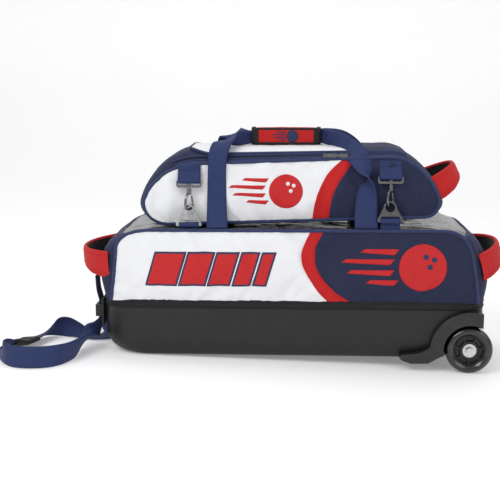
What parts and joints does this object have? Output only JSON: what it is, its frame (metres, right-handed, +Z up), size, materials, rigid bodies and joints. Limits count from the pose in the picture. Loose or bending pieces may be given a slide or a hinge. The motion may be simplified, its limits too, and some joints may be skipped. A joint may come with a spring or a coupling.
{
  "type": "bowling ball bag",
  "caption": "Roller tote for bowling balls with a clipped-on shoe bag, carry strap, pull strap and two wheels.",
  "frame": {"origin": "centre of the bounding box in X and Y, on the floor the tote stands on, measured without the pull strap", "axes": "+X towards the wheel end, along the length; -Y is the front with the striped panel; +Z up"},
  "size_m": [0.9256, 0.3771, 0.4257],
  "materials": {
    "white_fabric": "woven polyester, satin",
    "red_fabric": "woven polyester",
    "navy_webbing": "ribbed nylon webbing",
    "black_fabric": "ribbed binding and padding",
    "navy_fabric": "woven polyester",
    "tray_plastic": "fine moulded texture",
    "housing_plastic": "fine moulded texture",
    "clear_vinyl": "clear, slightly cloudy",
    "foam": "closed-cell foam",
    "tyre": "cast urethane, semi-gloss",
    "core_plastic": "moulded",
    "steel": "bright zinc plate",
    "nickel": "dark nickel plate"
  },
  "bodies": {
    "tote": {"axle_bolt_front": "steel", "axle_bolt_rear": "steel", "base_tray": "tray_plastic", "carry_strap_front": "navy_webbing", "carry_strap_rear": "navy_webbing", "foam_base": "foam", "front_panel_navy": "navy_fabric", "front_panel_stripe": "red_fabric", "front_panel_white": "white_fabric", "grip_wrap": "red_fabric", "hook_eye_front_left": "nickel", "hook_eye_front_right": "nickel", "hook_eye_rear_left": "nickel", "hook_eye_rear_right": "nickel", "hook_tab_front_left": "navy_webbing", "hook_tab_front_right": "navy_webbing", "left_end_panel": "navy_fabric", "pull_grip": "black_fabric", "pull_strap": "navy_webbing", "rear_panel": "navy_fabric", "right_end_panel": "navy_fabric", "ring_loop_front_left": "navy_webbing", "ring_loop_front_right": "navy_webbing", "ring_loop_rear_left": "navy_webbing", "ring_loop_rear_right": "navy_webbing", "shoe_bag_front_navy": "navy_fabric", "shoe_bag_front_stripe": "red_fabric", "shoe_bag_front_white": "white_fabric", "shoe_bag_gusset": "navy_fabric", "shoe_bag_lid": "white_fabric", "shoe_bag_rear": "navy_fabric", "strap_bracket_front": "tray_plastic", "strap_bracket_rear": "tray_plastic", "top_window": "clear_vinyl", "tray_binding": "black_fabric", "wheel_housing_front": "housing_plastic", "wheel_housing_rear": "housing_plastic"},
    "wheel_front": {"wheel_tyre_front": "tyre", "wheel_core_front": "core_plastic", "wheel_bearing_front": "steel"},
    "wheel_rear": {"wheel_tyre_rear": "tyre", "wheel_core_rear": "core_plastic", "wheel_bearing_rear": "steel"},
    "left_grab_handle": {"left_grab_handle": "red_fabric"},
    "right_grab_handle": {"right_grab_handle": "red_fabric"},
    "shoe_bag_handle": {"shoe_bag_handle": "red_fabric"},
    "snap_hook_front_left": {"snap_hook_front_left": "nickel"},
    "hook_gate_front_left": {"hook_gate_front_left": "nickel"},
    "triangle_ring_front_left": {"triangle_ring_front_left": "nickel"},
    "snap_hook_front_right": {"snap_hook_front_right": "nickel"},
    "hook_gate_front_right": {"hook_gate_front_right": "nickel"},
    "triangle_ring_front_right": {"triangle_ring_front_right": "nickel"},
    "snap_hook_rear_left": {"snap_hook_rear_left": "nickel"},
    "hook_gate_rear_left": {"hook_gate_rear_left": "nickel"},
    "triangle_ring_rear_left": {"triangle_ring_rear_left": "nickel"},
    "snap_hook_rear_right": {"snap_hook_rear_right": "nickel"},
    "hook_gate_rear_right": {"hook_gate_rear_right": "nickel"},
    "triangle_ring_rear_right": {"triangle_ring_rear_right": "nickel"},
    "zip_slider": {"zip_slider": "nickel"},
    "grip_flap": {"grip_flap": "red_fabric"}
  },
  "joints": [
    {"name": "wheel_spin_front", "type": "hinge", "parent": "tote", "child": "wheel_front", "pos_m": [0.33123, -0.12, 0.04302], "axis": [0, 1, 0], "continuous": true},
    {"name": "wheel_spin_rear", "type": "hinge", "parent": "tote", "child": "wheel_rear", "pos_m": [0.33123, 0.12, 0.04302], "axis": [0, 1, 0], "continuous": true},
    {"name": "left_grab_handle_swing", "type": "hinge", "parent": "tote", "child": "left_grab_handle", "pos_m": [-0.35009, 0, 0.16494], "axis": [0, 1, 0], "range_deg": [-4, 10]},
    {"name": "right_grab_handle_swing", "type": "hinge", "parent": "tote", "child": "right_grab_handle", "pos_m": [0.35897, 0, 0.19783], "axis": [0, -1, 0], "range_deg": [-4, 10]},
    {"name": "shoe_bag_handle_swing", "type": "hinge", "parent": "tote", "child": "shoe_bag_handle", "pos_m": [0.26773, 0, 0.33435], "axis": [0, -1, 0], "range_deg": [-4, 10]},
    {"name": "hook_swivel_front_left", "type": "hinge", "parent": "tote", "child": "snap_hook_front_left", "pos_m": [-0.1893, -0.1052, 0.31337], "axis": [-0.0393, 0, 0.9992], "range_deg": [0, 8]},
    {"name": "gate_front_left", "type": "hinge", "parent": "snap_hook_front_left", "child": "hook_gate_front_left", "pos_m": [-0.18502, -0.09948, 0.29813], "axis": [-0.8408, 0.5403, -0.0331], "range_deg": [0, 20], "stiffness_Nm_per_rad": 0.02, "springref_deg": -17.19},
    {"name": "ring_pivot_front_left", "type": "hinge", "parent": "tote", "child": "triangle_ring_front_left", "pos_m": [-0.18673, -0.1174, 0.24802], "axis": [0.9992, 0, 0.0393], "range_deg": [0, 3]},
    {"name": "hook_swivel_front_right", "type": "hinge", "parent": "tote", "child": "snap_hook_front_right", "pos_m": [0.17257, -0.1052, 0.33661], "axis": [-0.0393, 0, 0.9992], "range_deg": [0, 8]},
    {"name": "gate_front_right", "type": "hinge", "parent": "snap_hook_front_right", "child": "hook_gate_front_right", "pos_m": [0.17685, -0.09948, 0.32137], "axis": [-0.8408, 0.5403, -0.0331], "range_deg": [0, 20], "stiffness_Nm_per_rad": 0.02, "springref_deg": -17.19},
    {"name": "ring_pivot_front_right", "type": "hinge", "parent": "tote", "child": "triangle_ring_front_right", "pos_m": [0.17514, -0.1174, 0.27126], "axis": [0.9992, 0, 0.0393], "range_deg": [0, 3]},
    {"name": "hook_swivel_rear_left", "type": "hinge", "parent": "tote", "child": "snap_hook_rear_left", "pos_m": [-0.1893, 0.1052, 0.31337], "axis": [-0.0393, 0, 0.9992], "range_deg": [0, 8]},
    {"name": "gate_rear_left", "type": "hinge", "parent": "snap_hook_rear_left", "child": "hook_gate_rear_left", "pos_m": [-0.19236, 0.09948, 0.29784], "axis": [0.8408, -0.5403, 0.0331], "range_deg": [0, 20], "stiffness_Nm_per_rad": 0.02, "springref_deg": -17.19},
    {"name": "ring_pivot_rear_left", "type": "hinge", "parent": "tote", "child": "triangle_ring_rear_left", "pos_m": [-0.18673, 0.1174, 0.24802], "axis": [0.9992, 0, 0.0393], "range_deg": [-3, 0]},
    {"name": "hook_swivel_rear_right", "type": "hinge", "parent": "tote", "child": "snap_hook_rear_right", "pos_m": [0.17257, 0.1052, 0.33661], "axis": [-0.0393, 0, 0.9992], "range_deg": [0, 8]},
    {"name": "gate_rear_right", "type": "hinge", "parent": "snap_hook_rear_right", "child": "hook_gate_rear_right", "pos_m": [0.1695, 0.09948, 0.32108], "axis": [0.8408, -0.5403, 0.0331], "range_deg": [0, 20], "stiffness_Nm_per_rad": 0.02, "springref_deg": -17.19},
    {"name": "ring_pivot_rear_right", "type": "hinge", "parent": "tote", "child": "triangle_ring_rear_right", "pos_m": [0.17514, 0.1174, 0.27126], "axis": [0.9992, 0, 0.0393], "range_deg": [-3, 0]},
    {"name": "zip_slide", "type": "slide", "parent": "tote", "child": "zip_slider", "axis": [0.997, 0, 0.0768], "range_m": [-0.16, 0]},
    {"name": "grip_flap_hinge", "type": "hinge", "parent": "tote", "child": "grip_flap", "pos_m": [-0.01894, -0.0186, 0.42215], "axis": [-0.9992, 0, -0.0393], "range_deg": [0, 100]}
  ]
}
